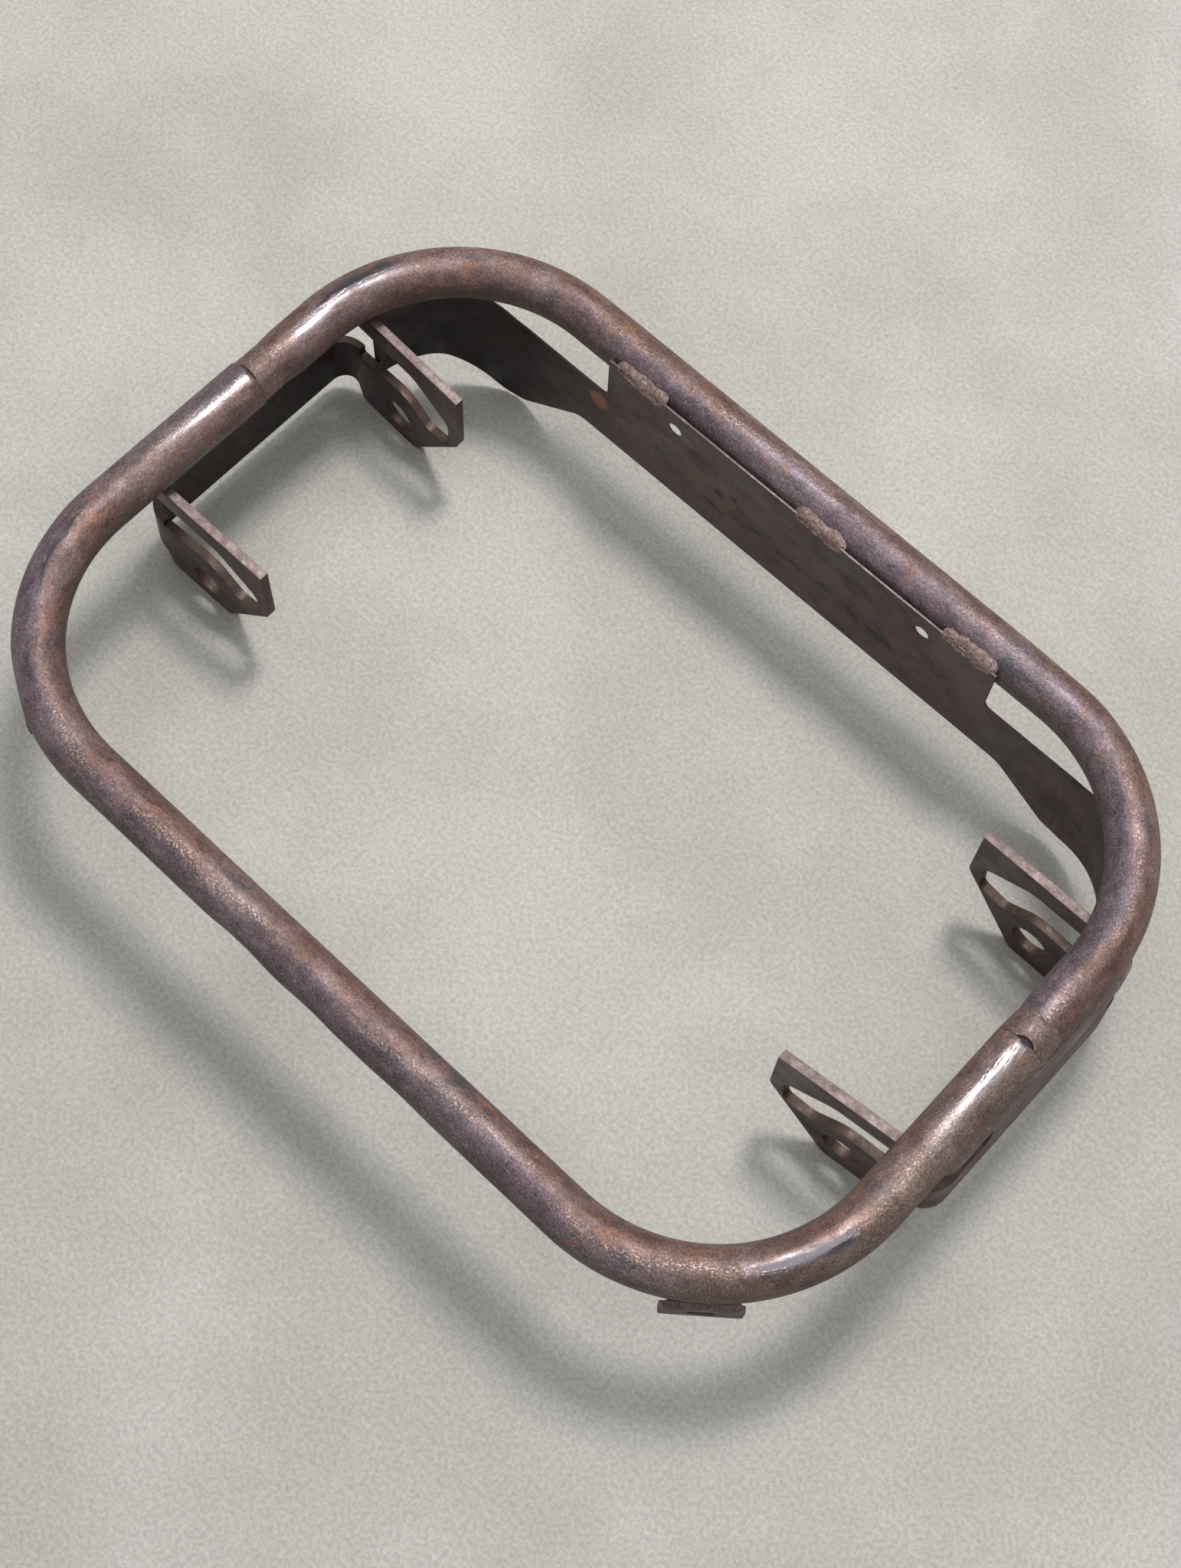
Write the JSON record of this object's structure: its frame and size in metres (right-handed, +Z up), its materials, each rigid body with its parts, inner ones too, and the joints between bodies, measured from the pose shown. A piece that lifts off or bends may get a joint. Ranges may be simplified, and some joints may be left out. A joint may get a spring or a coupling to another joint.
{
  "type": "rear rack hoop",
  "caption": "Welded steel rack hoop: round-cornered tube frame on bent side brackets with drilled and slotted ears, a formed rear plate and slotted front tabs.",
  "frame": {"origin": "middle of the footprint, on the surface the bracket ears stand on", "axes": "+X along the hoop's long side to the right, +Y to the rear where the formed plate is, +Z up"},
  "size_m": [0.5234, 0.359, 0.1127],
  "materials": {
    "tube_steel": "bare steel tube with a thin brown and grey rust patina, half polished in places",
    "plate_steel": "bare steel sheet with an even dark brown rust patina",
    "weld_steel": "rough rusted weld metal"
  },
  "bodies": {
    "root": {"front_hoop_tube": "tube_steel", "front_left_tab": "plate_steel", "front_left_tab_weld": "weld_steel", "front_right_tab": "plate_steel", "front_right_tab_weld": "weld_steel", "left_bracket_front_weld": "weld_steel", "left_bracket_rear_weld": "weld_steel", "left_joint_weld": "weld_steel", "left_side_bracket": "plate_steel", "left_wing_weld": "weld_steel", "rear_hoop_tube": "tube_steel", "rear_plate": "plate_steel", "rear_plate_centre_weld": "weld_steel", "rear_plate_left_weld": "weld_steel", "rear_plate_right_weld": "weld_steel", "right_bracket_front_weld": "weld_steel", "right_bracket_rear_weld": "weld_steel", "right_joint_weld": "weld_steel", "right_side_bracket": "plate_steel", "right_wing_weld": "weld_steel"}
  },
  "joints": []
}
